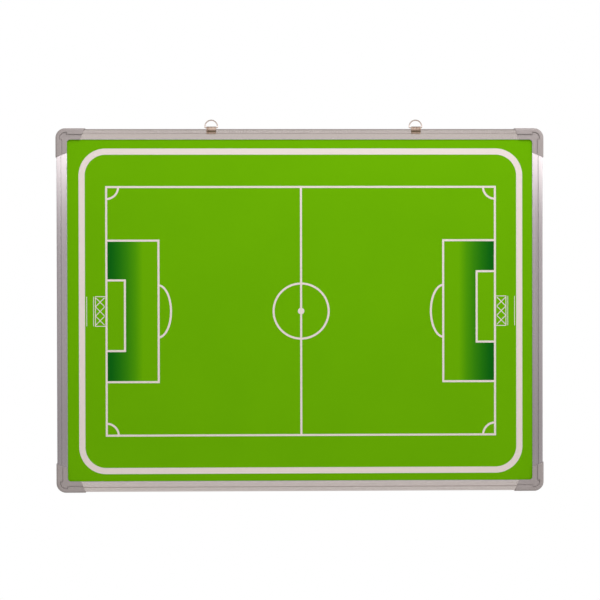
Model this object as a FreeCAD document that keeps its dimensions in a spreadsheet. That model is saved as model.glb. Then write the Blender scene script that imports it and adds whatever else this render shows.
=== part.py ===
"""Tactics board: a laminated pitch panel in an aluminium frame, hung by two sliding hangers.

The frame of the model: +X is right, +Z is up and the printed face looks along -Y. The origin is the
middle of the board on the wall plane, which is the plane of the corner caps' backs.
"""

import FreeCAD, Part
import math
import os
from types import SimpleNamespace

import Sketcher

# Driving dimensions in millimetres, with what each one measures
DIMENSIONS = [
    ("board_width", "600", "over the outer faces of the side rails"),
    ("board_height", "447", "over the outer faces of the top and bottom rails"),
    ("rail_face", "13.1", "rail, from its outer face to the lips' free edge"),
    ("rail_depth", "14", "rail, front to back over the raised bands"),
    ("rail_band", "5.6", "raised outer band of the rail"),
    ("rail_step", "1.3", "drop from the band to the lip"),
    ("rail_band_fall", "0.5", "how much the front band falls towards its outer edge"),
    ("rail_tube", "7.2", "hollow outer part of the rail, to the floor of the panel channel"),
    ("rail_wall", "1.2", "wall of the extrusion"),
    ("rail_lip", "0.8", "thickness of the lips"),
    ("rail_front_round", "2", "rounding of the rail's outer front edge"),
    ("rail_back_round", "1.5", "rounding of the rail's outer back edge"),
    ("rail_band_round", "0.5", "rounding of the band's inner edges"),
    ("rail_lip_round", "0.5", "rounding of the lips' free edges"),
    ("rail_end_gap", "0.8", "rail's cut end, short of the corner of the visible panel"),
    ("panel_play", "0.3", "panel's edge to the floor of the channel"),
    ("panel_clearance", "0.1", "panel's faces to the rail's lips"),
    ("film_thickness", "0.2", "printed face film"),
    ("steel_thickness", "0.3", "magnetic steel sheet"),
    ("back_thickness", "0.4", "sheet that closes the back"),
    ("cap_wall", "0.9", "front and outer walls of a corner cap"),
    ("cap_back_wall", "1.8", "back wall of a corner cap behind the rail"),
    ("cap_clearance", "0.1", "inside of a cap to the rail"),
    ("cap_arm", "36", "arm of a cap along its outer edge"),
    ("cap_slant", "5.7", "how much shorter the arm is along its inner edge"),
    ("cap_corner_round", "12", "outer corner of a cap, seen from the front"),
    ("cap_inner_round", "4", "inner corner of a cap, seen from the front"),
    ("cap_hollow", "9.2", "hollow in the cap's ridge, from the corner of the visible panel"),
    ("cap_hollow_round", "7.6", "rounded corner of that hollow"),
    ("cap_seam_width", "0.7", "seam along the foot of the cap's ridge"),
    ("cap_seam_depth", "0.5", "depth of that seam"),
    ("cap_ridge_round", "0.4", "edges of the cap's ridge"),
    ("cap_back_round", "0.8", "outer back edges of a cap"),
    ("key_clearance", "0.1", "corner key to the rail's chamber"),
    ("key_leg", "28", "leg of a key, from the corner of the visible panel"),
    ("key_tip", "1", "lead-in at the end of a key's leg"),
    ("screw_head", "5.2", "diameter of a countersunk head"),
    ("screw_shank", "2.6", "diameter of the shank"),
    ("screw_length", "9.5", "from the head's face to the point"),
    ("screw_tip", "1.8", "tapered point"),
    ("screw_sink", "0.2", "head's face below the cap's back"),
    ("screw_inset", "11", "screw, from the corner of the visible panel along the arm"),
    ("screw_clearance", "0.1", "screw to its holes"),
    ("cross_span", "2.8", "span of the cross recess"),
    ("cross_width", "0.7", "width of the cross recess"),
    ("cross_depth", "0.7", "depth of the cross recess"),
    ("strap_width", "11.8", "strip that the hanger clips are bent from"),
    ("strap_thickness", "0.6", "thickness of that strip"),
    ("clip_clearance", "0.1", "clip to the rail that it slides on"),
    ("clip_hook", "1.2", "hook at each end of the clip"),
    ("clip_bend", "0.6", "bend of the hooks, at the middle of the strip"),
    ("shoulder_low", "3.6", "lower bend of the clip's shoulder, below the rail's top"),
    ("shoulder_high", "2.6", "upper bend of the clip's shoulder, below the rail's top"),
    ("shoulder_bend", "1", "bends of the shoulder, at the middle of the strip"),
    ("eye_height", "1.3", "middle of the eye, above the rail's top"),
    ("eye_lead", "0.5", "middle of the eye, ahead of the rail's front"),
    ("eye_clearance", "0.1", "eye to the ring's bar"),
    ("eye_foot_bend", "0.7", "bend from the eye to the rail's top, at the middle of the strip"),
    ("left_clip_place", "109.4", "left clip, left of the board's middle"),
    ("right_clip_place", "142.9", "right clip, right of the board's middle"),
    ("ring_wire", "1.6", "diameter of the ring's wire"),
    ("ring_width", "17", "ring, over its sides"),
    ("ring_height", "10.8", "ring, over its bar and its crown"),
    ("ring_corner", "1", "bend at each end of the bar, at the middle of the wire"),
    ("ring_butt_gap", "0.3", "gap between the wire's ends, inside the eye"),
    ("right_ring_shift", "0.6", "right ring, left of the middle of its eye"),
    ("cut_overrun", "1", "how far a cut runs past the face that it leaves"),
]

SNAP = 1e-4  # points closer than this are one point
SHARE_DIGITS = 9  # of a direction's share along X or Y
HALF_TURN = "half turn"  # in place of a corner's radius

QUARTER_TURN = 90
FULL_TURN = 360


class Size:
    """A length: the formula that ties it to the sheet, and its value at this moment."""

    def __init__(self, formula, value):
        self.formula = formula
        self.value = value

    def __add__(self, other):
        return Size(f"({self.formula} + {other.formula})", self.value + other.value)

    def __sub__(self, other):
        return Size(f"({self.formula} - {other.formula})", self.value - other.value)

    def __mul__(self, factor):
        return Size(f"({self.formula} * {factor})", self.value * factor)

    def __truediv__(self, divisor):
        return Size(f"({self.formula} / {divisor})", self.value / divisor)

    def __neg__(self):
        return Size(f"(0 - {self.formula})", -self.value)


ZERO = Size("0", 0.0)


def sheet_sizes(doc):
    """Writes the dimensions into the document's sheet and returns them as sizes, by name."""
    sheet = doc.addObject("Spreadsheet::Sheet", "dims")
    for row, (name, text, note) in enumerate(DIMENSIONS, 1):
        sheet.set(f"A{row}", note)
        sheet.set(f"B{row}", text)
        sheet.setAlias(f"B{row}", name)
    doc.recompute()
    return SimpleNamespace(
        **{name: Size(f"dims.{name}", float(text)) for name, text, note in DIMENSIONS}
    )


doc = FreeCAD.newDocument("tactics_board")
dim = sheet_sizes(doc)

# Places that several pieces share
half_width = dim.board_width / 2
half_height = dim.board_height / 2
sight_x = half_width - dim.rail_face
sight_z = half_height - dim.rail_face
lip_line = dim.rail_face - dim.rail_band  # from the lips' free edge out to the raised band
channel_floor = dim.rail_face - dim.rail_tube  # from the lips' free edge out to the channel's floor
rail_back = -(dim.cap_back_wall + dim.cap_clearance)
rail_front = rail_back - dim.rail_depth
lip_back = rail_back - dim.rail_step
lip_front = rail_front + dim.rail_step
channel_back = lip_back - dim.rail_lip
channel_front = lip_front + dim.rail_lip
chamber_back = rail_back - dim.rail_wall
chamber_front = rail_front + dim.rail_band_fall + dim.rail_wall
cap_proud = dim.cap_clearance + dim.cap_wall
cap_outer = dim.rail_face + cap_proud
cap_front = rail_front - cap_proud
screw_line = channel_floor + dim.rail_tube / 2  # from the lips' free edge, the chamber's middle
strap_offset = dim.clip_clearance + dim.strap_thickness / 2  # rail to the middle of the strip
eye_bore = dim.ring_wire / 2 + dim.eye_clearance
eye_bend = eye_bore + dim.strap_thickness / 2
eye_y = rail_front - dim.eye_lead

# The corners of the board: the turn about Y that brings the top right one there, and its signs
CORNERS = [
    ("top_right", 0, 1, 1),
    ("bottom_right", QUARTER_TURN, 1, -1),
    ("bottom_left", 2 * QUARTER_TURN, -1, -1),
    ("top_left", 3 * QUARTER_TURN, -1, 1),
]


def bind(thing, name, size):
    thing.setExpression(name, size.formula)


def signed(size, sign):
    return size if sign > 0 else -size


def new_body(label):
    body = doc.addObject("PartDesign::Body", label)
    body.Label = label
    return body


def place(thing, x=ZERO, y=ZERO, z=ZERO, turn=0):
    """Turns a piece about Y, then puts its own origin at a place that follows the sheet."""
    turned = FreeCAD.Rotation(FreeCAD.Vector(0, 1, 0), turn)
    thing.Placement = FreeCAD.Placement(FreeCAD.Vector(x.value, y.value, z.value), turned)
    for axis, size in zip("xyz", (x, y, z)):
        bind(thing, f"Placement.Base.{axis}", size)


def new_sketch(body, plane_role, name, offset=(ZERO, ZERO, ZERO)):
    """A sketch on one of the body's own planes, moved by an offset along the sketch's own axes."""
    sketch = body.newObject("Sketcher::SketchObject", name)
    plane = next(f for f in body.Origin.OriginFeatures if f.Role == plane_role)
    sketch.AttachmentSupport = [(plane, "")]
    sketch.MapMode = "FlatFace"
    for axis, size in zip("xyz", offset):
        if size is not ZERO:
            bind(sketch, f"AttachmentOffset.Base.{axis}", size)
    return sketch


def constrain(sketch, *terms, size=None):
    """Adds one constraint, with a value that follows the sheet where it has a size."""
    if size is None:
        return sketch.addConstraint(Sketcher.Constraint(*terms))
    index = sketch.addConstraint(Sketcher.Constraint(*terms, size.value))
    bind(sketch, f"Constraints[{index}]", size)
    return index


def vector(x, y):
    return FreeCAD.Vector(x.value, y.value, 0)


def moved(size, length, share):
    """A place that lies a share of a length further on."""
    return size if abs(share) < SNAP else size + length * round(share, SHARE_DIGITS)


def rounded(corner, before, after):
    """The two ends of a corner's arc, and the point half way along it."""
    x, y, radius = corner
    tip = vector(x, y)
    ways = [(vector(*other[:2]) - tip).normalize() for other in (before, after)]
    half_angle = ways[0].getAngle(ways[1]) / 2
    trim_share = 1 / math.tan(half_angle)
    ends = [
        (moved(x, radius, way.x * trim_share), moved(y, radius, way.y * trim_share)) for way in ways
    ]
    inwards = (ways[0] + ways[1]).normalize()
    crown = tip + inwards * radius.value * (1 / math.sin(half_angle) - 1)
    return ends, crown


def stations(corners):
    """The points of an outline, each with the bend from it to the next and that bend's crown."""
    points = []
    for i, corner in enumerate(corners):
        before, after = corners[i - 1], corners[(i + 1) % len(corners)]
        if len(corner) == 2:
            points.append((*corner, None, None))
        elif corner[2] == HALF_TURN:
            start, end = vector(*corner[:2]), vector(*after[:2])
            heading = (start - vector(*before[:2])).normalize()
            crown = (start + end) / 2 + heading * ((end - start).Length / 2)
            points.append((*corner, crown))
        else:
            (arrive, leave), crown = rounded(corner, before, after)
            points.append((*arrive, corner[2], crown))
            points.append((*leave, None, None))
    return points


def draw(sketch, corners, closed=True):
    """Draws a line from corner to corner, with every point tied to the sheet.

    A corner is (x, y), or (x, y, radius) where it is rounded. From a point (x, y, HALF_TURN) a half
    circle runs on to the next point.
    """
    points = stations(corners)
    pieces = []
    for i, (x, y, bend, crown) in enumerate(points if closed else points[:-1]):
        next_x, next_y = points[(i + 1) % len(points)][:2]
        start, end = vector(x, y), vector(next_x, next_y)
        clockwise = bend and (crown - start).cross(end - crown).z < 0
        if clockwise:
            shape, first, last = Part.Arc(end, crown, start), 2, 1
        else:
            shape = Part.Arc(start, crown, end) if bend else Part.LineSegment(start, end)
            first, last = 1, 2
        piece = sketch.addGeometry(shape, False)
        constrain(sketch, "DistanceX", -1, 1, piece, first, size=x)
        constrain(sketch, "DistanceY", -1, 1, piece, first, size=y)
        if bend == HALF_TURN and abs(end.x - start.x) > SNAP:
            constrain(sketch, "DistanceY", -1, 1, piece, 3, size=y)
        elif bend == HALF_TURN:
            constrain(sketch, "DistanceX", -1, 1, piece, 3, size=x)
        elif bend:
            constrain(sketch, "Radius", piece, size=bend)
        pieces.append((piece, first, last))
    for (piece, first, last), (other, other_first, other_last) in zip(pieces, pieces[1:]):
        constrain(sketch, "Coincident", piece, last, other, other_first)
    piece, first, last = pieces[-1]
    if closed:
        constrain(sketch, "Coincident", piece, last, pieces[0][0], pieces[0][1])
    else:
        constrain(sketch, "DistanceX", -1, 1, piece, last, size=points[-1][0])
        constrain(sketch, "DistanceY", -1, 1, piece, last, size=points[-1][1])


def draw_circle(sketch, x, y, radius):
    centre = FreeCAD.Vector(x.value, y.value, 0)
    circle = sketch.addGeometry(Part.Circle(centre, FreeCAD.Vector(0, 0, 1), radius.value), False)
    constrain(sketch, "DistanceX", -1, 1, circle, 3, size=x)
    constrain(sketch, "DistanceY", -1, 1, circle, 3, size=y)
    constrain(sketch, "Radius", circle, size=radius)


def rectangle(left, bottom, right, top):
    return [(left, bottom), (right, bottom), (right, top), (left, top)]


def pad(body, sketch, length, both_ways=False):
    feature = body.newObject("PartDesign::Pad", f"{sketch.Name}_pad")
    feature.Profile = sketch
    bind(feature, "Length", length)
    if both_ways:
        feature.SideType = "Symmetric"
    doc.recompute()
    return feature


def checked_cut(body, feature, volume_before):
    doc.recompute()
    if feature.Shape.Volume > volume_before - SNAP:
        raise RuntimeError(f"{feature.Name} takes nothing off {body.Label}")
    return feature


def pocket(body, sketch, depth, along_normal=False):
    """Cuts against the sketch's normal, or along it."""
    volume_before = body.Shape.Volume
    feature = body.newObject("PartDesign::Pocket", f"{sketch.Name}_cut")
    feature.Profile = sketch
    feature.Reversed = along_normal
    bind(feature, "Length", depth)
    return checked_cut(body, feature, volume_before)


def groove(body, sketch, axis, angle):
    """Cuts what the sketch sweeps as it turns about one of its own axes."""
    volume_before = body.Shape.Volume
    feature = body.newObject("PartDesign::Groove", f"{sketch.Name}_cut")
    feature.Profile = sketch
    feature.ReferenceAxis = (sketch, [axis])
    feature.Angle = angle
    return checked_cut(body, feature, volume_before)


def pipe(body, profile, spine):
    feature = body.newObject("PartDesign::AdditivePipe", f"{profile.Name}_pipe")
    feature.Profile = profile
    feature.Spine = (spine, [])
    doc.recompute()
    return feature


def fillet(body, radius, wanted):
    """Rounds the edges whose middle point passes the test."""
    base = body.Tip
    names = []
    for number, edge in enumerate(base.Shape.Edges, 1):
        if wanted(edge.valueAt((edge.FirstParameter + edge.LastParameter) / 2)):
            names.append(f"Edge{number}")
    feature = body.newObject("PartDesign::Fillet", f"{body.Name}_round")
    feature.Base = (base, names)
    bind(feature, "Radius", radius)
    doc.recompute()
    return feature


def near(value, size):
    return abs(value - size.value) < SNAP


def panel_layer(label, front, thickness):
    """One sheet of the panel, tucked under the rails' lips on all four sides."""
    sheet = doc.addObject("Part::Box", label)
    sheet.Label = label
    edge_x = half_width - dim.rail_tube - dim.panel_play
    edge_z = half_height - dim.rail_tube - dim.panel_play
    bind(sheet, "Length", edge_x * 2)
    bind(sheet, "Width", thickness)
    bind(sheet, "Height", edge_z * 2)
    place(sheet, -edge_x, front, -edge_z)
    return sheet


def make_panel():
    """The sandwich in the channel: film, steel, core and back sheet, face to face."""
    film_front = channel_front + dim.panel_clearance
    steel_front = film_front + dim.film_thickness
    core_front = steel_front + dim.steel_thickness
    back_front = channel_back - dim.panel_clearance - dim.back_thickness
    return [
        panel_layer("print_film", film_front, dim.film_thickness),
        panel_layer("steel_sheet", steel_front, dim.steel_thickness),
        panel_layer("core_board", core_front, back_front - core_front),
        panel_layer("back_sheet", back_front, dim.back_thickness),
    ]


def rail_section():
    """The extrusion's outline as (y, z), with z from the lips' free edge out."""
    band, lip = dim.rail_band_round, dim.rail_lip_round
    return [
        (lip_back, ZERO, lip),
        (lip_back, lip_line),
        (rail_back, lip_line, band),
        (rail_back, dim.rail_face, dim.rail_back_round),
        (rail_front + dim.rail_band_fall, dim.rail_face, dim.rail_front_round),
        (rail_front, lip_line, band),
        (lip_front, lip_line),
        (lip_front, ZERO, lip),
        (channel_front, ZERO),
        (channel_front, channel_floor),
        (channel_back, channel_floor),
        (channel_back, ZERO),
    ]


def chamber_section():
    """The hollow of the extrusion, one wall inside its outline."""
    wall = dim.rail_wall
    inner, outer = channel_floor + wall, dim.rail_face - wall
    shoulder = lip_line + wall
    return [
        (channel_back, inner),
        (channel_back, shoulder),
        (chamber_back, shoulder),
        (chamber_back, outer),
        (chamber_front, outer),
        (chamber_front, shoulder),
        (channel_front, shoulder),
        (channel_front, inner),
    ]


def make_rail(label, sight_half, place_x, place_z, turn):
    """A square-cut length of the extrusion, drilled from behind near both ends."""
    body = new_body(label)
    section = new_sketch(body, "YZ_Plane", f"{label}_section")
    draw(section, rail_section())
    draw(section, chamber_section())
    pad(body, section, (sight_half - dim.rail_end_gap) * 2, both_ways=True)
    holes = new_sketch(body, "XZ_Plane", f"{label}_holes", (ZERO, ZERO, -rail_back))
    for side in (1, -1):
        hole_x = signed(sight_half - dim.screw_inset, side)
        draw_circle(holes, hole_x, screw_line, dim.screw_shank / 2 + dim.screw_clearance)
    pocket(body, holes, dim.rail_step + dim.rail_wall * 2, along_normal=True)
    place(body, place_x, ZERO, place_z, turn)
    return body


def make_rails():
    return [
        make_rail("top_rail", sight_x, ZERO, sight_z, 0),
        make_rail("right_rail", sight_z, sight_x, ZERO, QUARTER_TURN),
        make_rail("bottom_rail", sight_x, ZERO, -sight_z, 2 * QUARTER_TURN),
        make_rail("left_rail", sight_z, -sight_x, ZERO, 3 * QUARTER_TURN),
    ]


def cap_outline():
    """The cap from the front: two arms with slanted ends, from the corner of the visible panel."""
    outer_end = cap_outer - dim.cap_arm
    inner_end = outer_end + dim.cap_slant
    return [
        (cap_outer, cap_outer, dim.cap_corner_round),
        (cap_outer, outer_end),
        (ZERO, inner_end),
        (ZERO, ZERO, dim.cap_inner_round),
        (inner_end, ZERO),
        (outer_end, cap_outer),
    ]


def cap_lowered_area():
    """The cap's front at the level of the rails' lips, with a rounded hollow in the ridge."""
    ridge = lip_line - cap_proud
    hollow = dim.cap_hollow
    past_corner = -(dim.cap_inner_round + dim.cut_overrun)
    past_arm = -dim.cap_arm
    return [
        (past_arm, ridge),
        (ZERO, ridge),
        (ZERO, hollow),
        (hollow, hollow, dim.cap_hollow_round),
        (hollow, ZERO),
        (ridge, ZERO),
        (ridge, past_arm),
        (past_corner, past_arm),
        (past_corner, past_corner),
        (past_arm, past_corner),
    ]


def cap_seam():
    """The narrow seam in the lowered front, all along the foot of the ridge."""
    ridge = lip_line - cap_proud
    hollow, hollow_round = dim.cap_hollow, dim.cap_hollow_round
    width = dim.cap_seam_width
    past_arm = -dim.cap_arm
    return [
        (past_arm, ridge),
        (ZERO, ridge),
        (ZERO, hollow),
        (hollow, hollow, hollow_round),
        (hollow, ZERO),
        (ridge, ZERO),
        (ridge, past_arm),
        (ridge - width, past_arm),
        (ridge - width, width),
        (hollow - width, width),
        (hollow - width, hollow - width, hollow_round - width),
        (width, hollow - width),
        (width, ridge - width),
        (past_arm, ridge - width),
    ]


def cap_room():
    """The hollow at the level of the rails' lips: both arms, and the corner where the key lies."""
    past_corner = -(dim.cap_inner_round + dim.cut_overrun)
    past_arm = -dim.cap_arm
    corner_start = -dim.cap_inner_round
    far_side = dim.rail_face - dim.rail_wall + dim.key_clearance
    far_round = dim.cap_corner_round - (cap_outer - far_side)
    return [
        (past_arm, past_corner),
        (past_arm, screw_line),
        (corner_start, screw_line),
        (corner_start, far_side),
        (far_side, far_side, far_round),
        (far_side, corner_start),
        (screw_line, corner_start),
        (screw_line, past_arm),
        (past_corner, past_arm),
        (past_corner, past_corner),
    ]


def cap_band_socket():
    """The hollow for a rail's raised bands, as (y, z)."""
    gap = dim.cap_clearance
    back, front = rail_back + gap, rail_front - gap
    inner, outer = lip_line - gap, dim.rail_face + gap
    return [
        (back, inner),
        (back, outer, dim.rail_back_round + gap),
        (front + dim.rail_band_fall, outer, dim.rail_front_round + gap),
        (front, inner),
    ]


def swapped(corners):
    return [(corner[1], corner[0], *corner[2:]) for corner in corners]


def screw_hole():
    """Half of a countersunk hole through the cap's back wall, beside the screw's axis."""
    head = dim.screw_head / 2 + dim.screw_clearance
    shank = dim.screw_shank / 2 + dim.screw_clearance
    cone_end = -(dim.screw_sink + head - shank)
    through = rail_back - dim.cut_overrun
    return [
        (ZERO, dim.cut_overrun),
        (head, dim.cut_overrun),
        (head, -dim.screw_sink),
        (shank, cone_end),
        (shank, through),
        (ZERO, through),
    ]


def make_cap(corner, turn, sign_x, sign_z):
    """A moulded cap that wraps over the square ends of two rails."""
    body = new_body(f"corner_cap_{corner}")
    name = f"cap_{corner}"
    outline = new_sketch(body, "XZ_Plane", f"{name}_outline")
    draw(outline, cap_outline())
    pad(body, outline, -cap_front)

    lowered = new_sketch(body, "XZ_Plane", f"{name}_lowered", (ZERO, ZERO, -cap_front))
    draw(lowered, cap_lowered_area())
    pocket(body, lowered, dim.rail_step)
    seam_top = -(cap_front + dim.rail_step)
    seam = new_sketch(body, "XZ_Plane", f"{name}_seam", (ZERO, ZERO, seam_top))
    draw(seam, cap_seam())
    pocket(body, seam, dim.cap_seam_depth)

    room_back = -(lip_back + dim.cap_clearance)
    room_front = -(lip_front - dim.cap_clearance)
    room = new_sketch(body, "XZ_Plane", f"{name}_room", (ZERO, ZERO, room_back))
    draw(room, cap_room())
    pocket(body, room, room_front - room_back, along_normal=True)

    socket_end = dim.cap_clearance - dim.rail_end_gap
    level = new_sketch(body, "YZ_Plane", f"{name}_level_socket", (ZERO, ZERO, socket_end))
    draw(level, cap_band_socket())
    pocket(body, level, dim.cap_arm)
    upright = new_sketch(body, "XY_Plane", f"{name}_upright_socket", (ZERO, ZERO, socket_end))
    draw(upright, swapped(cap_band_socket()))
    pocket(body, upright, dim.cap_arm)

    for hole_x, hole_z in ((-dim.screw_inset, screw_line), (screw_line, -dim.screw_inset)):
        hole = new_sketch(body, "XY_Plane", f"{name}_hole", (hole_x, ZERO, hole_z))
        draw(hole, screw_hole())
        groove(body, hole, "V_Axis", FULL_TURN)

    # The small rounds along the ridge's inner edges, then its outer edge and the edge behind
    corner_centre = cap_outer - dim.cap_corner_round
    ridge_limit = max(lip_line.value, dim.cap_hollow.value)

    def on_outer_edge(middle):
        on_arms = near(middle.x, cap_outer) or near(middle.z, cap_outer)
        reach = math.hypot(middle.x - corner_centre.value, middle.z - corner_centre.value)
        past_centre = min(middle.x, middle.z) > corner_centre.value
        return on_arms or (past_centre and near(reach, dim.cap_corner_round))

    def on_ridge_side(middle):
        return max(middle.x, middle.z) < ridge_limit

    fillet(
        body,
        dim.cap_ridge_round,
        lambda middle: near(middle.y, cap_front) and on_ridge_side(middle),
    )
    fillet(
        body,
        dim.rail_front_round + cap_proud,
        lambda middle: near(middle.y, cap_front) and on_outer_edge(middle),
    )
    fillet(
        body,
        dim.cap_back_round,
        lambda middle: near(middle.y, ZERO) and on_outer_edge(middle),
    )
    place(body, signed(sight_x, sign_x), ZERO, signed(sight_z, sign_z), turn)
    return body


def key_outline(inner, outer):
    """An L with tapered tips, from the corner of the visible panel, round like the cap."""
    end = -dim.key_leg
    tip = dim.key_tip
    return [
        (outer, outer, dim.cap_corner_round - (cap_outer - outer)),
        (outer, end + tip),
        (outer - tip, end),
        (inner + tip, end),
        (inner, end + tip),
        (inner, inner, dim.cap_corner_round - (cap_outer - inner)),
        (end + tip, inner),
        (end, inner + tip),
        (end, outer - tip),
        (end + tip, outer),
    ]


def make_key(corner, turn, sign_x, sign_z):
    """An L key that fills the chambers of two rails, with a pilot hole for each screw."""
    body = new_body(f"corner_key_{corner}")
    gap = dim.key_clearance
    outer = dim.rail_face - dim.rail_wall - gap
    layers = [
        ("wide", channel_floor + dim.rail_wall + gap, channel_back - gap, channel_front + gap),
        ("deep", lip_line + dim.rail_wall + gap, chamber_back - gap, chamber_front + gap),
    ]
    for layer, inner, back, front in layers:
        sketch = new_sketch(body, "XZ_Plane", f"key_{corner}_{layer}", (ZERO, ZERO, -back))
        draw(sketch, key_outline(inner, outer))
        pad(body, sketch, back - front)
    pilots = new_sketch(body, "XZ_Plane", f"key_{corner}_pilots", (ZERO, ZERO, -rail_back))
    for hole_x, hole_z in ((-dim.screw_inset, screw_line), (screw_line, -dim.screw_inset)):
        draw_circle(pilots, hole_x, hole_z, dim.screw_shank / 2 + dim.screw_clearance)
    point = dim.screw_sink + dim.screw_length + dim.screw_clearance
    pocket(body, pilots, point + rail_back, along_normal=True)
    place(body, signed(sight_x, sign_x), ZERO, signed(sight_z, sign_z), turn)
    return body


def make_screw(number, place_x, place_z):
    """A countersunk self-tapping screw, driven in from behind."""
    body = new_body(f"screw_{number}")
    head, shank = dim.screw_head / 2, dim.screw_shank / 2
    face = -dim.screw_sink
    point = face - dim.screw_length
    sketch = new_sketch(body, "XY_Plane", f"screw_{number}_profile")
    draw(
        sketch,
        [
            (ZERO, face),
            (head, face),
            (shank, face - (head - shank)),
            (shank, point + dim.screw_tip),
            (ZERO, point),
        ],
    )
    turned = body.newObject("PartDesign::Revolution", f"screw_{number}_turned")
    turned.Profile = sketch
    turned.ReferenceAxis = (sketch, ["V_Axis"])
    turned.Angle = FULL_TURN
    doc.recompute()
    arm, side = dim.cross_span / 2, dim.cross_width / 2
    cross = new_sketch(body, "XZ_Plane", f"screw_{number}_cross", (ZERO, ZERO, -face))
    draw(
        cross,
        [
            (arm, -side),
            (arm, side),
            (side, side),
            (side, arm),
            (-side, arm),
            (-side, side),
            (-arm, side),
            (-arm, -side),
            (-side, -side),
            (-side, -arm),
            (side, -arm),
            (side, -side),
        ],
    )
    pocket(body, cross, dim.cross_depth, along_normal=True)
    place(body, place_x, ZERO, place_z)
    return body


def make_screws():
    """Two screws in each corner, as one group of separate solids."""
    screws = []
    for corner, turn, sign_x, sign_z in CORNERS:
        on_level = (sight_x - dim.screw_inset, sight_z + screw_line)
        on_upright = (sight_x + screw_line, sight_z - dim.screw_inset)
        for x, z in (on_level, on_upright):
            screws.append(make_screw(len(screws) + 1, signed(x, sign_x), signed(z, sign_z)))
    group = doc.addObject("Part::Compound", "corner_screws")
    group.Label = "corner_screws"
    group.Links = screws
    return group


def clip_path():
    """The middle of the clip's strip as (y, z), with z from the rail's top."""
    leg_y = rail_front - strap_offset
    layer_y = eye_y - eye_bend
    behind_eye = eye_y + eye_bend
    back_y = rail_back + strap_offset
    hook_z = -(dim.rail_band + strap_offset)
    return [
        (leg_y + dim.clip_hook, hook_z),
        (leg_y, hook_z, dim.clip_bend),
        (leg_y, -dim.shoulder_low, dim.shoulder_bend),
        (layer_y, -dim.shoulder_high, dim.shoulder_bend),
        (layer_y, dim.eye_height, HALF_TURN),
        (behind_eye, dim.eye_height),
        (behind_eye, strap_offset, dim.eye_foot_bend),
        (back_y, strap_offset, dim.rail_back_round + strap_offset),
        (back_y, hook_z, dim.clip_bend),
        (back_y - dim.clip_hook, hook_z),
    ]


def make_clip(side, place_x):
    """A strip bent over the top rail, hooked under its bands, with an eye at the front."""
    body = new_body(f"hanger_clip_{side}")
    path_points = clip_path()
    start_y, start_z = path_points[0]
    path = new_sketch(body, "YZ_Plane", f"clip_{side}_path")
    draw(path, path_points, closed=False)
    strip = new_sketch(body, "XZ_Plane", f"clip_{side}_strip", (ZERO, ZERO, -start_y))
    half_strap, half_sheet = dim.strap_width / 2, dim.strap_thickness / 2
    draw(strip, rectangle(-half_strap, start_z - half_sheet, half_strap, start_z + half_sheet))
    pipe(body, strip, path)
    place(body, place_x, ZERO, half_height)
    return body


def make_ring(side, place_x):
    """A wire D-ring whose ends meet in the middle of its bar, inside the eye."""
    body = new_body(f"hang_ring_{side}")
    reach = (dim.ring_width - dim.ring_wire) / 2
    spring = dim.ring_height - dim.ring_wire - reach  # where the round of the ring begins
    butt = dim.ring_butt_gap / 2
    path = new_sketch(body, "XZ_Plane", f"ring_{side}_path")
    draw(
        path,
        [
            (butt, ZERO),
            (reach, ZERO, dim.ring_corner),
            (reach, spring, HALF_TURN),
            (-reach, spring),
            (-reach, ZERO, dim.ring_corner),
            (-butt, ZERO),
        ],
        closed=False,
    )
    wire = new_sketch(body, "YZ_Plane", f"ring_{side}_wire", (ZERO, ZERO, butt))
    draw_circle(wire, ZERO, ZERO, dim.ring_wire / 2)
    pipe(body, wire, path)
    place(body, place_x, eye_y, half_height + dim.eye_height)
    return body


def make_hangers():
    return [
        make_clip("left", -dim.left_clip_place),
        make_clip("right", dim.right_clip_place),
        make_ring("left", -dim.left_clip_place),
        make_ring("right", dim.right_clip_place - dim.right_ring_shift),
    ]


def export(pieces):
    """Writes one file for each piece, once the whole document is sound."""
    doc.recompute()
    for thing in doc.Objects:
        if "Invalid" in thing.State or "Error" in thing.State:
            raise RuntimeError(f"{thing.Label} is {thing.State}")
    for piece in pieces:
        if piece.Shape.isNull() or not piece.Shape.isValid() or not piece.Shape.Solids:
            raise RuntimeError(f"{piece.Label} has no sound solid")
    os.makedirs("parts", exist_ok=True)
    for piece in pieces:
        piece.Shape.exportStep(f"parts/{piece.Label}.step")
        print(piece.Label, len(piece.Shape.Solids), round(piece.Shape.Volume))


pieces = make_panel() + make_rails()
pieces += [make_cap(*corner) for corner in CORNERS]
pieces += [make_key(*corner) for corner in CORNERS]
pieces.append(make_screws())
pieces += make_hangers()
export(pieces)
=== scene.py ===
import math

import bpy
from mathutils import Color, Matrix, Vector


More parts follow.
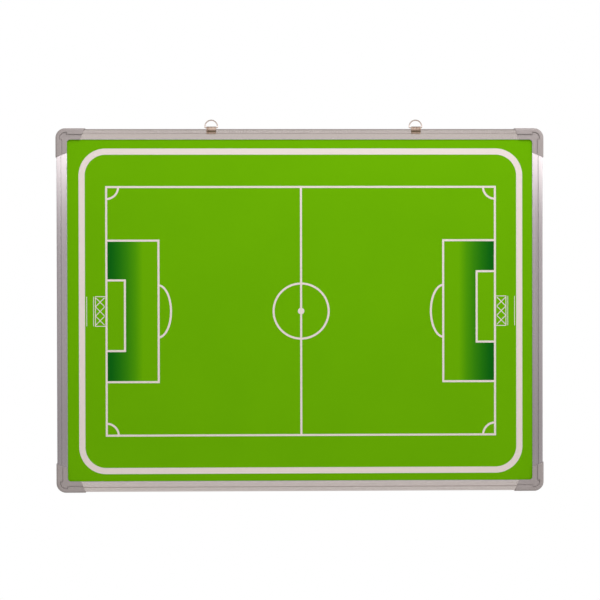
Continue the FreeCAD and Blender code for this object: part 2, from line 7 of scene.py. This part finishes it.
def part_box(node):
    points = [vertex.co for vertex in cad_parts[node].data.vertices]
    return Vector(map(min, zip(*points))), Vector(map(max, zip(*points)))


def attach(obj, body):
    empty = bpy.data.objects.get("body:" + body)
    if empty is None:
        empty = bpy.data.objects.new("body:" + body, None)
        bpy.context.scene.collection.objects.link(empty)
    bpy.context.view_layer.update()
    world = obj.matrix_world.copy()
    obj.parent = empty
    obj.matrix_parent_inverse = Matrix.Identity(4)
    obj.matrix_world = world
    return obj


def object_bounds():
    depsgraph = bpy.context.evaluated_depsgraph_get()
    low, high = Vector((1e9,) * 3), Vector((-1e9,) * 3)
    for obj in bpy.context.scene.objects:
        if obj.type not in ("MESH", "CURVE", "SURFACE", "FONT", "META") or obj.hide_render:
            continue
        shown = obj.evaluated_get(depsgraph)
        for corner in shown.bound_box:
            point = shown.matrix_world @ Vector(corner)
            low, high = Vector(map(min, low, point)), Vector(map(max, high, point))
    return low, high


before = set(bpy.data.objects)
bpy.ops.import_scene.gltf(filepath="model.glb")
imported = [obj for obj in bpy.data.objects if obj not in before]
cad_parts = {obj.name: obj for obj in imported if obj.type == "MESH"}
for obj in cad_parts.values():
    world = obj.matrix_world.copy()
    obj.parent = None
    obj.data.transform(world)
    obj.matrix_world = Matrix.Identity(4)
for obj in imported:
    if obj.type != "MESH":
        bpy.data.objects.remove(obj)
cad_low, cad_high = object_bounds()

# A tactics board that hangs on a wall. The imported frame, panel and hangers get their finishes here,
# and the white lines of the print are modelled on the film. Sizes and places are in metres. X is
# right, Z is up, and the printed face looks along -Y.
film_low, film_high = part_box("print_film")
FACE = film_low.y
RAIL_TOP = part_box("top_rail")[1].z
RAIL_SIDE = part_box("right_rail")[1].x

# The print, whose middle is a little off the film's, with each size to the middle of its line
PRINT_SHIFT_X, PRINT_SHIFT_Z = 0.0009, -0.0011
PRINT_X = (film_low.x + film_high.x) / 2 + PRINT_SHIFT_X
PRINT_Z = (film_low.z + film_high.z) / 2 + PRINT_SHIFT_Z
TRACK_WIDTH, TRACK_HEIGHT = 0.5400, 0.3936
TRACK_LINE, TRACK_ROUND = 0.0076, 0.0296
PITCH_WIDTH, PITCH_HEIGHT = 0.4797, 0.3063
PITCH_LINE = 0.0025
CENTRE_RADIUS, CORNER_RADIUS = 0.0340, 0.0147
SPOT_RADIUS, SPOT_RIM = 0.0040, 0.0010
PENALTY_DEPTH, PENALTY_HEIGHT = 0.0641, 0.1744
ARC_DEPTH, ARC_HALF_HEIGHT = 0.0153, 0.0320
GOAL_AREA_DEPTH, GOAL_AREA_HEIGHT = 0.0227, 0.0871
GOAL_AREA_SHIFT = 0.0053  # down on the left, up on the right
GOAL_DEPTH, GOAL_HEIGHT, GOAL_LINE = 0.0136, 0.0365, 0.0009
NET_CROSS_PITCH, NET_SHORT = 0.0114, 0.0020  # the net ends short of the goal line
RULE_NEAR, RULE_FAR, RULE_LINE = 0.0023, 0.0107, 0.0007  # near and far behind the goal

# The ink lies a hair off the film, in coats, so that lines that cross have no faces in one plane
INK_LIFT, INK_COAT = 0.00002, 0.00003
INK_BACK = FACE - INK_LIFT
NET_COATS, FRAME_COATS, AREA_COATS, PITCH_COATS, CIRCLE_COATS = 1, 2, 3, 4, 5

ROUND_STEPS = 160
BAR_ROUND_SHARE, BAR_ROUND_STEPS = 0.45, 4  # the rounding of a line's ends, by its width
QUARTER_TURN = math.pi / 2

# The raised band along each rail's outer edge. Painted shade lies at the foot of its step: it
# starts a little outside the step, so that the step's own wall is in it, and fades out inwards.
RAIL_BAND, PAINTED_SHADE_START, PAINTED_SHADE_REACH = 0.0056, -0.00005, 0.0005
STREAK_FINENESS = 600  # how much closer the metal's streaks lie across a rail than along it

# The fold at the front of each hanger clip, below the top of the rail, and how far the shade
# painted around it reaches up and down
FOLD_DROP, FOLD_SHADE_REACH, FOLD_SHADE_CORE = 0.0032, 0.0034, 0.0003

# Roughness varies by this much, up and down
PLASTIC_VARIES, PLATING_VARIES = 0.06, 0.05

# Most of a noise pattern lies between these values
NOISE_LOW, NOISE_HIGH = 0.3, 0.7

# The colour sockets of a Mix node go by number, because its other sockets have the same names
MIX_LOW, MIX_HIGH, MIX_RESULT = 6, 7, 2

# The camera stands where the photograph's edges put it, for a lens of this length
CAMERA_PLACE = (-0.0377, -2.0158, 0.0293)
CAMERA_YAW, CAMERA_PITCH, CAMERA_ROLL = 1.065, -0.479, -0.110  # degrees
CAMERA_LENS = 97.32  # millimetres

# The floor is a round slab that turns white towards its rim
FLOOR_DROP, FLOOR_RADIUS, FLOOR_THICKNESS = 1.2, 1.8, 0.03
FLOOR_EDGE, FLOOR_EDGE_STEPS = 0.01, 3
FLOOR_FADE_START, FLOOR_FADE_END = 0.5, 1.7

# The studio's dome: how bright it is at each angle above the horizon, in degrees, and how that
# changes from left to right, by the X of the direction
SKY_LEVELS = [
    (-90, 0.35), (-40, 0.5), (-20, 0.7), (-10, 0.7), (-6, 0.3), (-2, 0.5), (2, 0.45), (3, 0.2),
    (3.8, 0.3), (4.6, 2.8), (8, 1.2), (16, 0.75), (40, 0.35), (90, 0.4),
]
SKY_SIDE_SHARES = [
    (-1, 0.6), (-0.7, 1.0), (-0.4, 0.7), (-0.17, 1.1), (-0.1, 0.95), (0.13, 1.0), (0.28, 0.7),
    (0.5, 1.4), (1, 1.1),
]
SKY_TINT = (1.03, 1.0, 0.98)  # faintly warm

# Metal mirrors the white background only behind the board: from the first Y of a direction on,
# and fully from the second
BEHIND_START, BEHIND_FULL = 0.2, 0.6

# The softboxes: where each stands, its width, and its power in watts
KEY_PLACE, KEY_WIDTH, KEY_POWER = (0.22, -0.76, 1.0), 1.0, 12.2
BACK_PLACE, BACK_WIDTH, BACK_POWER = (-1.0, 1.8, 1.0), 1.2, 18.0


def srgb(red, green, blue):
    """A colour as seen on a screen, from 0 to 255, as a node's linear colour."""
    seen = Color((red / 255, green / 255, blue / 255))
    return (*seen.from_srgb_to_scene_linear(), 1.0)


class Nodes:
    """The nodes of a material or of the world, added one by one."""

    def __init__(self, owner):
        owner.use_nodes = True
        self.tree = owner.node_tree

    def node(self, kind, inputs, **settings):
        """A new node, with its settings made before its inputs."""
        made = self.tree.nodes.new(kind)
        for name, value in settings.items():
            setattr(made, name, value)
        self.fill(made, inputs)
        return made

    def fill(self, node, inputs):
        """Links or sets a node's sockets, by name or number."""
        for socket, value in inputs.items():
            if isinstance(value, bpy.types.NodeSocket):
                self.tree.links.new(value, node.inputs[socket])
            else:
                node.inputs[socket].default_value = value

    def math(self, operation, *values):
        """The result of a sum or a comparison."""
        made = self.node("ShaderNodeMath", dict(enumerate(values)), operation=operation)
        return made.outputs["Value"]

    def split(self, vector):
        """The X, Y and Z of a vector, by name."""
        return self.node("ShaderNodeSeparateXYZ", {"Vector": vector}).outputs

    def stretch(self, value, low, high):
        """A value as its share of the way from low to high, kept between 0 and 1."""
        inputs = {"Value": value, "From Min": low, "From Max": high}
        return self.node("ShaderNodeMapRange", inputs).outputs["Result"]

    def ramp(self, factor, stops):
        """A colour that follows a factor through places from 0 to 1 and their colours."""
        made = self.node("ShaderNodeValToRGB", {"Fac": factor})
        elements = made.color_ramp.elements
        while len(elements) < len(stops):
            elements.new(1.0)
        for element, (position, colour) in zip(elements, stops):
            element.position = position
            element.color = colour
        return made.outputs["Color"]

    def level_ramp(self, direction, levels, tint=(1, 1, 1)):
        """Levels of a tint along a direction's X, Y or Z, which runs from -1 to 1."""
        stops = []
        for place, level in levels:
            colour = [level * share for share in tint]
            stops.append(((place + 1) / 2, (*colour, 1.0)))
        return self.ramp(self.stretch(direction, -1.0, 1.0), stops)

    def show_white(self, lit, white, direct_share, mirrored_share, output):
        """Puts white in a lit shader's place, by a share to the camera and a share to metal."""
        path = self.node("ShaderNodeLightPath", {}).outputs
        straight = self.math("MAXIMUM", path["Is Camera Ray"], path["Is Transmission Ray"])
        direct = self.math("MULTIPLY", straight, direct_share)
        mirrored = self.math("MULTIPLY", path["Is Glossy Ray"], mirrored_share)
        seen = self.math("MAXIMUM", direct, mirrored)
        mixed = self.node("ShaderNodeMixShader", {"Fac": seen, 1: lit, 2: white})
        self.fill(self.tree.nodes[output], {"Surface": mixed.outputs["Shader"]})


class Finish(Nodes):
    """A material that is built around one Principled shader."""

    def __init__(self, name):
        self.material = bpy.data.materials.new(name)
        super().__init__(self.material)
        self.shader = self.tree.nodes["Principled BSDF"]

    def shade(self, **inputs):
        """Sets or links the shader's sockets, with _ for a space in their names."""
        self.fill(self.shader, {name.replace("_", " "): value for name, value in inputs.items()})

    def place(self):
        """Where a point lies on the board."""
        return self.node("ShaderNodeTexCoord", {}).outputs["Object"]

    def noise(self, cells, detail=3, shares=(1, 1, 1)):
        """A grey pattern with that many cells to a metre, times a share along each axis."""
        mapped = self.node("ShaderNodeMapping", {"Vector": self.place(), "Scale": shares})
        inputs = {"Vector": mapped.outputs["Vector"], "Scale": cells, "Detail": detail}
        return self.node("ShaderNodeTexNoise", inputs).outputs["Fac"]

    def between(self, factor, low, high):
        """A value that runs from low to high over the middle of a noise pattern."""
        inputs = {"Value": factor, "From Min": NOISE_LOW, "From Max": NOISE_HIGH}
        limits = {"To Min": low, "To Max": high}
        return self.node("ShaderNodeMapRange", inputs | limits).outputs["Result"]

    def blend(self, factor, low, high):
        """A colour mixed from two."""
        inputs = {"Factor": factor, MIX_LOW: low, MIX_HIGH: high}
        return self.node("ShaderNodeMix", inputs, data_type="RGBA").outputs[MIX_RESULT]

    def bump(self, height, depth, strength):
        """Hills and hollows that follow a pattern, as a normal."""
        inputs = {"Height": height, "Distance": depth, "Strength": strength}
        return self.node("ShaderNodeBump", inputs).outputs["Normal"]


def laminate(finish):
    """Gives a print the satin gloss of the laminated film."""
    finish.shade(
        Roughness=finish.between(finish.noise(cells=60, detail=5), 0.36, 0.44),
        Specular_IOR_Level=0.03,
    )


def printed_green():
    """The green of the film, which runs darker towards the goal lines in the penalty areas."""
    finish = Finish("printed_green")
    place = finish.split(finish.place())
    across = finish.math("SUBTRACT", place["X"], PRINT_X)
    up = finish.math("SUBTRACT", place["Z"], PRINT_Z)
    depth = finish.math("SUBTRACT", PITCH_WIDTH / 2, finish.math("ABSOLUTE", across))
    shift = finish.math("MULTIPLY", finish.math("SIGN", across), GOAL_AREA_SHIFT)
    goal_up = finish.math("SUBTRACT", up, shift)

    def inside(limit_depth, height, limit_height):
        within = finish.math("LESS_THAN", finish.math("ABSOLUTE", height), limit_height / 2)
        return finish.math("MULTIPLY", finish.math("LESS_THAN", depth, limit_depth), within)

    in_penalty = inside(PENALTY_DEPTH, up, PENALTY_HEIGHT)
    in_pitch = finish.math("GREATER_THAN", depth, 0.0)
    in_goal = inside(GOAL_AREA_DEPTH, goal_up, GOAL_AREA_HEIGHT)
    outside_goal = finish.math("SUBTRACT", 1.0, in_goal)
    shaded = finish.math("MULTIPLY", finish.math("MULTIPLY", in_penalty, in_pitch), outside_goal)

    mottle = finish.noise(cells=14, detail=4)
    base = finish.blend(mottle, srgb(97, 163, 0), srgb(103, 169, 0))
    dark = finish.ramp(
        finish.math("DIVIDE", depth, PENALTY_DEPTH),
        [
            (0.10, srgb(10, 95, 14)),
            (0.25, srgb(30, 111, 11)),
            (0.40, srgb(50, 127, 8)),
            (0.55, srgb(72, 145, 4)),
            (0.70, srgb(99, 165, 0)),
        ],
    )
    ripple = finish.noise(cells=350, detail=2)
    finish.shade(
        Base_Color=finish.blend(shaded, base, dark),
        Normal=finish.bump(ripple, depth=0.00002, strength=0.3),
    )
    laminate(finish)
    return finish.material


def white_ink():
    """Warm white with a fine grain."""
    finish = Finish("white_ink")
    grain = finish.noise(cells=900)
    finish.shade(Base_Color=finish.blend(grain, srgb(218, 207, 202), srgb(226, 215, 210)))
    laminate(finish)
    return finish.material


def brushed_aluminium(name, along, dark, pale, shade_tone):
    """Anodised metal with fine lines along the rail, which spread its highlights across them.

    A thin line of painted shade follows the foot of the rail's raised band.
    """
    finish = Finish(name)
    if along == "X":
        across, edge = "Z", RAIL_TOP
        closeness = (1, STREAK_FINENESS, STREAK_FINENESS)
    else:
        across, edge = "X", RAIL_SIDE
        closeness = (STREAK_FINENESS, STREAK_FINENESS, 1)
    streaks = finish.noise(cells=3, detail=4, shares=closeness)
    out = finish.math("ABSOLUTE", finish.split(finish.place())[across])
    # Painted shade: the metal darkens at the foot of the raised band's step and fades out inwards
    inwards = finish.math("SUBTRACT", edge - RAIL_BAND, out)
    off_band = finish.math("GREATER_THAN", inwards, PAINTED_SHADE_START)
    painted_shade = finish.math("MULTIPLY", finish.stretch(inwards, PAINTED_SHADE_REACH, 0.0), off_band)
    metal = finish.blend(streaks, dark, pale)
    finish.shade(
        Base_Color=finish.blend(painted_shade, metal, shade_tone),
        Metallic=1.0,
        Roughness=finish.between(streaks, 0.22, 0.27),
        Anisotropic=1.0,
        Tangent=finish.node("ShaderNodeCombineXYZ", {across: 1}).outputs["Vector"],
        Normal=finish.bump(streaks, depth=0.00001, strength=0.4),
    )
    return finish.material


def cap_plastic():
    """Moulded plastic with a fine sparked surface."""
    finish = Finish("cap_plastic")
    grain = finish.noise(cells=2600, detail=2)
    cloud = finish.noise(cells=45)
    finish.shade(
        Base_Color=finish.blend(cloud, srgb(152, 143, 142), srgb(162, 153, 152)),
        Roughness=finish.between(grain, 0.30, 0.40),
        Specular_IOR_Level=0.85,
        Normal=finish.bump(grain, depth=0.00003, strength=0.5),
    )
    return finish.material


def plain_plastic(name, dark, pale, roughness):
    """Plastic or coated sheet with a soft, uneven tone."""
    finish = Finish(name)
    grain = finish.noise(cells=1400, detail=2)
    cloud = finish.noise(cells=30, detail=5)
    smooth, rough = roughness - PLASTIC_VARIES, roughness + PLASTIC_VARIES
    finish.shade(
        Base_Color=finish.blend(cloud, dark, pale),
        Roughness=finish.between(grain, smooth, rough),
        Normal=finish.bump(grain, depth=0.00003, strength=0.3),
    )
    return finish.material


def bright_plating(finish, tone, roughness):
    """Makes a finish plated metal of a tone, with fine wear."""
    wear = finish.noise(cells=900)
    grain = finish.noise(cells=1800, detail=2)
    smooth, rough = roughness - PLATING_VARIES, roughness + PLATING_VARIES
    finish.shade(
        Base_Color=tone,
        Metallic=1.0,
        Roughness=finish.between(wear, smooth, rough),
        Normal=finish.bump(grain, depth=0.00001, strength=0.3),
    )


def plated_steel(name, dark, pale, roughness):
    """Plating with a cloudy tone."""
    finish = Finish(name)
    cloud = finish.noise(cells=220, detail=4)
    tone = finish.blend(cloud, dark, pale)
    bright_plating(finish, tone, roughness)
    return finish.material


def clip_steel():
    """Warm plating, streaked where it was bent, with painted shade around the fold at the front."""
    finish = Finish("clip_plating")
    streaks = finish.between(finish.noise(cells=420, detail=2, shares=(1, 1, 0.15)), 0.0, 1.0)
    warm = finish.blend(streaks, srgb(176, 152, 136), srgb(220, 198, 184))
    place = finish.split(finish.place())
    # Painted shade: the plating darkens to a brown around the fold at the front of the clip
    away = finish.math("ABSOLUTE", finish.math("SUBTRACT", RAIL_TOP - FOLD_DROP, place["Z"]))
    at_fold = finish.stretch(away, FOLD_SHADE_REACH, FOLD_SHADE_CORE)
    at_front = finish.math("LESS_THAN", place["Y"], FACE)
    painted_fold_shade = finish.math("MULTIPLY", at_fold, at_front)
    tone = finish.blend(painted_fold_shade, warm, srgb(128, 106, 90))
    bright_plating(finish, tone, roughness=0.26)
    return finish.material


def grey_board():
    """Pressed fibre board, seen only at the panel's hidden edges."""
    finish = Finish("grey_board")
    fibres = finish.noise(cells=400, detail=5, shares=(1, 6, 1))
    finish.shade(
        Base_Color=finish.blend(fibres, srgb(150, 130, 102), srgb(178, 158, 128)),
        Roughness=0.9,
        Normal=finish.bump(fibres, depth=0.0001, strength=0.5),
    )
    return finish.material


def dress_nodes():
    """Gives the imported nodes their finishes, by the start of their names."""
    # The last colour of each rail finish is its painted shade at the foot of the raised band
    level_metal = brushed_aluminium(
        "brushed_level", "X", srgb(215, 206, 203), srgb(230, 221, 218), srgb(196, 187, 184)
    )
    upright_metal = brushed_aluminium(
        "brushed_upright", "Z", srgb(211, 204, 208), srgb(226, 219, 223), srgb(174, 167, 170)
    )
    finishes = {
        "print_film": printed_green(),
        "steel_sheet": plated_steel("sheet_steel", srgb(168, 170, 172), srgb(184, 186, 188), 0.35),
        "core_board": grey_board(),
        "back_sheet": plain_plastic("back_sheet", srgb(199, 199, 197), srgb(205, 205, 203), 0.6),
        "top_rail": level_metal,
        "bottom_rail": level_metal,
        "left_rail": upright_metal,
        "right_rail": upright_metal,
        "corner_cap": cap_plastic(),
        "corner_key": plain_plastic("key_plastic", srgb(38, 38, 39), srgb(48, 48, 49), 0.5),
        "corner_screws": plated_steel("zinc", srgb(176, 178, 182), srgb(206, 206, 204), 0.3),
        "hanger_clip": clip_steel(),
        "hang_ring": plated_steel("ring_plating", srgb(222, 206, 198), srgb(238, 224, 217), 0.18),
    }
    for start, material in finishes.items():
        for name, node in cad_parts.items():
            if name.startswith(start):
                node.material_slots[0].material = material


def select_all():
    """Selects all of the mesh that is in edit mode."""
    bpy.ops.mesh.select_all(action="SELECT")


def start_plate(name, width, height, x, z, ellipse=False):
    """A flat plate or ellipse on the face, in edit mode, with all of it selected."""
    bpy.ops.object.select_all(action="DESELECT")
    where = dict(location=(x, INK_BACK, z), rotation=(QUARTER_TURN, 0, 0))
    if ellipse:
        bpy.ops.mesh.primitive_circle_add(
            vertices=ROUND_STEPS, radius=0.5, fill_type="NGON", **where
        )
    else:
        bpy.ops.mesh.primitive_plane_add(size=1, **where)
    piece = bpy.context.object
    piece.name = name
    piece.scale = (width, height, 1)
    bpy.ops.object.transform_apply()
    bpy.ops.object.mode_set(mode="EDIT")
    select_all()
    return piece


def keep_line(line):
    """Leaves of the selected plate a line along the inside of its edge."""
    bpy.ops.mesh.inset(thickness=line)
    bpy.ops.mesh.delete(type="FACE")
    select_all()


def cut_off(place, towards):
    """Takes away what lies past a place, in the direction given."""
    select_all()
    bpy.ops.mesh.bisect(plane_co=place, plane_no=towards, clear_outer=True)
    select_all()


def print_piece(piece, ink, coats):
    """Gives a flat shape its coats of ink, and leaves it on the board."""
    select_all()
    thickness = {"value": (0, -INK_COAT * coats, 0)}
    bpy.ops.mesh.extrude_region_move(TRANSFORM_OT_translate=thickness)
    select_all()
    bpy.ops.mesh.normals_make_consistent(inside=False)
    bpy.ops.object.mode_set(mode="OBJECT")
    piece.data.materials.append(ink)
    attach(piece, "board")


def copy_piece(piece, name, way):
    """A printed piece once more, with a mesh of its own, moved and turned by a matrix."""
    bpy.ops.object.select_all(action="DESELECT")
    piece.select_set(True)
    bpy.context.view_layer.objects.active = piece
    bpy.ops.object.duplicate()
    copy = bpy.context.object
    copy.name = name
    copy.matrix_world = way
    bpy.ops.object.transform_apply()
    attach(copy, "board")
    return copy


def turned(quarters, place, new_place):
    """The matrix that turns a print by quarter turns about a place, and takes that elsewhere."""
    turn = Matrix.Rotation(quarters * QUARTER_TURN, 4, "Y")
    return Matrix.Translation(new_place) @ turn @ Matrix.Translation(place).inverted()


def print_frame(name, width, height, x, z, line, ink, coats, rounding=0):
    """A rectangle of line, with its size and its rounding to the middle of the line."""
    piece = start_plate(name, width + line, height + line, x, z)
    if rounding:
        bpy.ops.mesh.bevel(
            offset=rounding + line / 2, segments=ROUND_STEPS // 4, affect="VERTICES"
        )
        select_all()
    keep_line(line)
    print_piece(piece, ink, coats)
    return piece


def print_bar(name, width, height, x, z, ink, coats):
    """An upright line with rounded ends."""
    piece = start_plate(name, width, height, x, z)
    bpy.ops.mesh.bevel(offset=width * BAR_ROUND_SHARE, segments=BAR_ROUND_STEPS, affect="VERTICES")
    print_piece(piece, ink, coats)
    return piece


def print_circle(name, radius, x, z, line, ink, coats):
    """A ring of line, with its radius to the middle of the line."""
    size = 2 * radius + line
    piece = start_plate(name, size, size, x, z, ellipse=True)
    keep_line(line)
    print_piece(piece, ink, coats)


def print_spot(ink):
    """The centre spot, with its middle a coat higher than its rim."""
    size = 2 * SPOT_RADIUS
    piece = start_plate("centre_spot", size, size, PRINT_X, PRINT_Z, ellipse=True)
    bpy.ops.mesh.inset(thickness=SPOT_RIM, depth=INK_COAT)
    print_piece(piece, ink, CIRCLE_COATS)


def pitch_corner(side, level):
    """A corner of the pitch, by -1 for left or low and 1 for right or high."""
    x, z = PRINT_X + side * PITCH_WIDTH / 2, PRINT_Z + level * PITCH_HEIGHT / 2
    return (x, INK_BACK, z)


def print_corner_arcs(ink):
    """A quarter of a circle, copied into the other corners with a quarter turn more in each."""
    first = pitch_corner(-1, -1)
    size = 2 * CORNER_RADIUS + PITCH_LINE
    arc = start_plate("corner_arc_left_low", size, size, first[0], first[2], ellipse=True)
    keep_line(PITCH_LINE)
    cut_off(first, (-1, 0, 0))
    cut_off(first, (0, 0, -1))
    print_piece(arc, ink, AREA_COATS)
    others = [("left_high", -1, 1), ("right_high", 1, 1), ("right_low", 1, -1)]
    for quarters, (place, side, level) in enumerate(others, 1):
        copy_piece(arc, f"corner_arc_{place}", turned(quarters, first, pitch_corner(side, level)))


def print_penalty_arc(ink):
    """Half of an ellipse that stands on the left penalty line and bows towards the middle."""
    x = PRINT_X - PITCH_WIDTH / 2 + PENALTY_DEPTH
    width, height = 2 * ARC_DEPTH + PITCH_LINE, 2 * ARC_HALF_HEIGHT + PITCH_LINE
    piece = start_plate("penalty_arc_left", width, height, x, PRINT_Z, ellipse=True)
    keep_line(PITCH_LINE)
    cut_off((x, INK_BACK, PRINT_Z), (-1, 0, 0))
    print_piece(piece, ink, PITCH_COATS)
    return piece


def select_edge_at(piece, place):
    """Selects, on a piece in edit mode, only the edge whose middle is nearest a place."""
    bpy.ops.mesh.select_all(action="DESELECT")
    bpy.ops.object.mode_set(mode="OBJECT")
    corners = piece.data.vertices

    def distance(edge):
        first, second = (corners[i].co for i in edge.vertices)
        return ((first + second) / 2 - place).length

    min(piece.data.edges, key=distance).select = True
    bpy.ops.object.mode_set(mode="EDIT")


def print_net_cross(name, x, z, width, height, ink):
    """Two crossing cords of a net: a small square whose four edges are drawn out, then turned."""
    piece = start_plate(name, GOAL_LINE, GOAL_LINE, x, z)
    middle = Vector((x, INK_BACK, z))
    reach = math.hypot(width, height) / 2 - GOAL_LINE
    bpy.ops.mesh.select_mode(type="EDGE")
    for way in (Vector((1, 0, 0)), Vector((-1, 0, 0)), Vector((0, 0, 1)), Vector((0, 0, -1))):
        select_edge_at(piece, middle + way * GOAL_LINE / 2)
        bpy.ops.mesh.extrude_region_move(TRANSFORM_OT_translate={"value": way * reach})
    bpy.ops.mesh.select_mode(type="VERT")
    select_all()
    bpy.ops.transform.rotate(value=QUARTER_TURN / 2, orient_axis="Y", center_override=middle)
    print_piece(piece, ink, NET_COATS)
    return piece


def print_goal(ink):
    """The goal behind the left goal line, with its net, and two rules further out."""
    goal_line = PRINT_X - PITCH_WIDTH / 2
    middle = goal_line - GOAL_DEPTH / 2
    goal = print_frame(
        "goal_left", GOAL_DEPTH, GOAL_HEIGHT, middle, PRINT_Z, GOAL_LINE, ink, FRAME_COATS
    )
    net_depth = GOAL_DEPTH - NET_SHORT
    net_x = goal_line - NET_SHORT - net_depth / 2
    cross = print_net_cross("net_left_middle", net_x, PRINT_Z, net_depth, NET_CROSS_PITCH, ink)
    low = copy_piece(cross, "net_left_low", Matrix.Translation((0, 0, -NET_CROSS_PITCH)))
    high = copy_piece(cross, "net_left_high", Matrix.Translation((0, 0, NET_CROSS_PITCH)))
    rule_x = goal_line - GOAL_DEPTH - RULE_NEAR
    near = print_bar("rule_left_near", RULE_LINE, GOAL_HEIGHT, rule_x, PRINT_Z, ink, FRAME_COATS)
    far = copy_piece(near, "rule_left_far", Matrix.Translation((RULE_NEAR - RULE_FAR, 0, 0)))
    return [goal, cross, low, high, near, far]


def print_ends(ink):
    """The areas, arc and goal at the left end of the pitch, and copies of them at the right."""
    goal_line = PRINT_X - PITCH_WIDTH / 2
    pieces = [print_penalty_arc(ink), *print_goal(ink)]
    for name, depth, height, shift in (
        ("penalty_area_left", PENALTY_DEPTH, PENALTY_HEIGHT, 0),
        ("goal_area_left", GOAL_AREA_DEPTH, GOAL_AREA_HEIGHT, -GOAL_AREA_SHIFT),
    ):
        x, z = goal_line + depth / 2, PRINT_Z + shift
        pieces.append(print_frame(name, depth, height, x, z, PITCH_LINE, ink, AREA_COATS))
    middle = (PRINT_X, INK_BACK, PRINT_Z)
    for piece in pieces:
        copy_piece(piece, piece.name.replace("left", "right"), turned(2, middle, middle))


def print_pitch(ink):
    """All the white lines on the film."""
    middle = (PRINT_X, PRINT_Z)
    print_frame(
        "track", TRACK_WIDTH, TRACK_HEIGHT, *middle, TRACK_LINE, ink, PITCH_COATS, TRACK_ROUND
    )
    print_frame("pitch_edge", PITCH_WIDTH, PITCH_HEIGHT, *middle, PITCH_LINE, ink, PITCH_COATS)
    print_bar("halfway_line", PITCH_LINE, PITCH_HEIGHT, *middle, ink, AREA_COATS)
    print_circle("centre_circle", CENTRE_RADIUS, *middle, PITCH_LINE, ink, CIRCLE_COATS)
    print_spot(ink)
    print_corner_arcs(ink)
    print_ends(ink)


def pale_floor():
    """A pale finish that shows as white towards the rim of the floor."""
    finish = Finish("pale_floor")
    cloud = finish.noise(cells=6)
    finish.shade(
        Base_Color=finish.blend(cloud, srgb(236, 236, 236), srgb(242, 242, 242)),
        Roughness=0.8,
    )
    place = finish.split(finish.place())
    squares = [finish.math("POWER", place[axis], 2.0) for axis in ("X", "Y")]
    away = finish.math("SQRT", finish.math("ADD", *squares))
    fade = finish.stretch(away, FLOOR_FADE_START, FLOOR_FADE_END)
    white = finish.node("ShaderNodeEmission", {}).outputs["Emission"]
    finish.show_white(finish.shader.outputs["BSDF"], white, fade, fade, "Material Output")
    return finish.material


def lay_floor():
    """A pale round slab with an eased edge, well below the hanging board."""
    bpy.ops.object.select_all(action="DESELECT")
    bpy.ops.mesh.primitive_circle_add(
        vertices=ROUND_STEPS,
        radius=FLOOR_RADIUS,
        fill_type="NGON",
        location=(0, 0, cad_low.z - FLOOR_DROP - FLOOR_THICKNESS),
    )
    floor = bpy.context.object
    floor.name = "floor"
    bpy.ops.object.transform_apply()
    bpy.ops.object.mode_set(mode="EDIT")
    select_all()
    bpy.ops.mesh.extrude_region_move(TRANSFORM_OT_translate={"value": (0, 0, FLOOR_THICKNESS)})
    bpy.ops.mesh.bevel(offset=FLOOR_EDGE, segments=FLOOR_EDGE_STEPS)
    select_all()
    bpy.ops.mesh.normals_make_consistent(inside=False)
    bpy.ops.object.mode_set(mode="OBJECT")
    floor.data.materials.append(pale_floor())


def add_softbox(name, place, width, power):
    """A square lamp that faces the middle of the board, and that metal doesn't mirror."""
    lamp = bpy.data.lights.new(name, "AREA")
    lamp.size = width
    lamp.energy = power
    holder = bpy.data.objects.new(name, lamp)
    bpy.context.scene.collection.objects.link(holder)
    holder.location = place
    holder.rotation_euler = (-holder.location).to_track_quat("-Z", "Y").to_euler()
    holder.visible_glossy = False


def light_studio():
    """A dome with a bright band above the horizon, white to the camera, and two softboxes."""
    world = bpy.data.worlds.new("studio")
    bpy.context.scene.world = world
    sky = Nodes(world)
    way = sky.split(sky.node("ShaderNodeTexCoord", {}).outputs["Generated"])
    rises = [(math.sin(math.radians(rise)), level) for rise, level in SKY_LEVELS]
    by_height = sky.level_ramp(way["Z"], rises, SKY_TINT)
    by_side = sky.level_ramp(way["X"], SKY_SIDE_SHARES)
    lit = sky.node("ShaderNodeBackground", {"Color": by_height, "Strength": by_side})
    white = sky.node("ShaderNodeBackground", {"Color": (1, 1, 1, 1)})
    behind = sky.stretch(way["Y"], BEHIND_START, BEHIND_FULL)
    shaders = (lit.outputs["Background"], white.outputs["Background"])
    sky.show_white(*shaders, 1.0, behind, "World Output")
    add_softbox("key_softbox", KEY_PLACE, KEY_WIDTH, KEY_POWER)
    add_softbox("back_softbox", BACK_PLACE, BACK_WIDTH, BACK_POWER)


def stand_camera():
    """The camera, turned from the face's direction by its yaw, pitch and roll."""
    lens = bpy.data.cameras.new("camera")
    lens.lens = CAMERA_LENS
    camera = bpy.data.objects.new("camera", lens)
    bpy.context.scene.collection.objects.link(camera)
    bpy.context.scene.camera = camera
    camera.matrix_world = (
        Matrix.Translation(CAMERA_PLACE)
        @ Matrix.Rotation(-math.radians(CAMERA_YAW), 4, "Z")
        @ Matrix.Rotation(QUARTER_TURN + math.radians(CAMERA_PITCH), 4, "X")
        @ Matrix.Rotation(math.radians(CAMERA_ROLL), 4, "Z")
    )


dress_nodes()
print_pitch(white_ink())
lay_floor()
light_studio()
stand_camera()
bpy.context.scene.view_settings.view_transform = "Standard"
